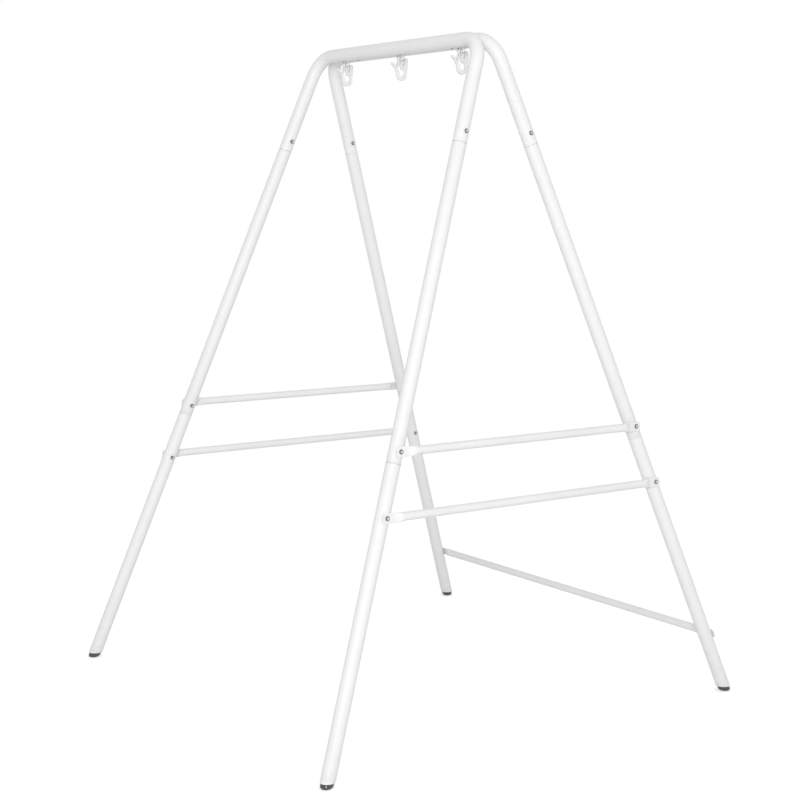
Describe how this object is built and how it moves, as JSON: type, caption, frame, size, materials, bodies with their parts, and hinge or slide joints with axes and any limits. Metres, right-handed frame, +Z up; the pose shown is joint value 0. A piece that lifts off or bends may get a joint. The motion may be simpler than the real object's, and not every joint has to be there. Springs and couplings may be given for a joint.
{
  "type": "hammock stand",
  "caption": "Tall white tube stand with splayed legs, crossbars, black foot caps and snap hooks under its top bar for a hanging hammock or hammock chair",
  "frame": {"origin": "floor plane at Z 0, at the middle of the stand between its four feet", "axes": "+X along the top bar to the right, +Y to the rear, where the low bar is, +Z up"},
  "size_m": [1.3538, 1.3666, 1.8189],
  "materials": {
    "white_powder_coat": "satin",
    "black_plastic": "satin",
    "zinc_steel": "satin",
    "spring_steel": "polished"
  },
  "bodies": {
    "stand": {"front_top_tube": "white_powder_coat", "rear_top_tube": "white_powder_coat", "middle_leg_front_left": "white_powder_coat", "lower_leg_front_left": "white_powder_coat", "foot_cap_front_left": "black_plastic", "middle_leg_front_right": "white_powder_coat", "lower_leg_front_right": "white_powder_coat", "foot_cap_front_right": "black_plastic", "middle_leg_rear_left": "white_powder_coat", "lower_leg_rear_left": "white_powder_coat", "foot_cap_rear_left": "black_plastic", "middle_leg_rear_right": "white_powder_coat", "lower_leg_rear_right": "white_powder_coat", "foot_cap_rear_right": "black_plastic", "left_upper_crossbar": "white_powder_coat", "left_lower_crossbar": "white_powder_coat", "right_upper_crossbar": "white_powder_coat", "right_lower_crossbar": "white_powder_coat", "rear_low_bar": "white_powder_coat", "hanger_eye_left": "white_powder_coat", "hanger_eye_middle": "white_powder_coat", "hanger_eye_right": "white_powder_coat", "joint_screw_front_left": "zinc_steel", "joint_nut_front_left": "zinc_steel", "joint_screw_front_right": "zinc_steel", "joint_nut_front_right": "zinc_steel", "joint_screw_rear_left": "zinc_steel", "joint_nut_rear_left": "zinc_steel", "joint_screw_rear_right": "zinc_steel", "joint_nut_rear_right": "zinc_steel", "knee_screw_front_left": "zinc_steel", "knee_nut_front_left": "zinc_steel", "knee_screw_front_right": "zinc_steel", "knee_nut_front_right": "zinc_steel", "knee_screw_rear_left": "zinc_steel", "knee_nut_rear_left": "zinc_steel", "knee_screw_rear_right": "zinc_steel", "knee_nut_rear_right": "zinc_steel", "crossbar_screw_front_left": "zinc_steel", "crossbar_nut_front_left": "zinc_steel", "crossbar_screw_front_right": "zinc_steel", "crossbar_nut_front_right": "zinc_steel", "crossbar_screw_rear_left": "zinc_steel", "crossbar_nut_rear_left": "zinc_steel", "crossbar_screw_rear_right": "zinc_steel", "crossbar_nut_rear_right": "zinc_steel", "low_bar_screw_left": "zinc_steel", "low_bar_screw_right": "zinc_steel"},
    "left_hook_body": {"hook_left": "white_powder_coat", "latch_pin_left": "zinc_steel", "latch_spring_left": "spring_steel"},
    "left_latch_body": {"latch_left": "white_powder_coat"},
    "middle_hook_body": {"hook_middle": "white_powder_coat", "latch_pin_middle": "zinc_steel", "latch_spring_middle": "spring_steel"},
    "middle_latch_body": {"latch_middle": "white_powder_coat"},
    "right_hook_body": {"hook_right": "white_powder_coat", "latch_pin_right": "zinc_steel", "latch_spring_right": "spring_steel"},
    "right_latch_body": {"latch_right": "white_powder_coat"}
  },
  "joints": [
    {"name": "left_hook_swing", "type": "hinge", "parent": "stand", "child": "left_hook_body", "pos_m": [-0.28, 0, 1.772], "axis": [1, 0, 0], "range_deg": [-40, 18]},
    {"name": "left_latch_hinge", "type": "hinge", "parent": "left_hook_body", "child": "left_latch_body", "pos_m": [-0.28, -0.006, 1.7645], "axis": [1, 0, 0], "range_deg": [0, 28], "stiffness_Nm_per_rad": 0.01, "springref_deg": -17.19, "deforming": ["latch_spring_left"]},
    {"name": "middle_hook_swing", "type": "hinge", "parent": "stand", "child": "middle_hook_body", "pos_m": [0, 0, 1.772], "axis": [1, 0, 0], "range_deg": [-40, 18]},
    {"name": "middle_latch_hinge", "type": "hinge", "parent": "middle_hook_body", "child": "middle_latch_body", "pos_m": [0, -0.006, 1.7645], "axis": [1, 0, 0], "range_deg": [0, 28], "stiffness_Nm_per_rad": 0.01, "springref_deg": -17.19, "deforming": ["latch_spring_middle"]},
    {"name": "right_hook_swing", "type": "hinge", "parent": "stand", "child": "right_hook_body", "pos_m": [0.28, 0, 1.772], "axis": [1, 0, 0], "range_deg": [-40, 18]},
    {"name": "right_latch_hinge", "type": "hinge", "parent": "right_hook_body", "child": "right_latch_body", "pos_m": [0.28, -0.006, 1.7645], "axis": [1, 0, 0], "range_deg": [0, 28], "stiffness_Nm_per_rad": 0.01, "springref_deg": -17.19, "deforming": ["latch_spring_right"]}
  ]
}
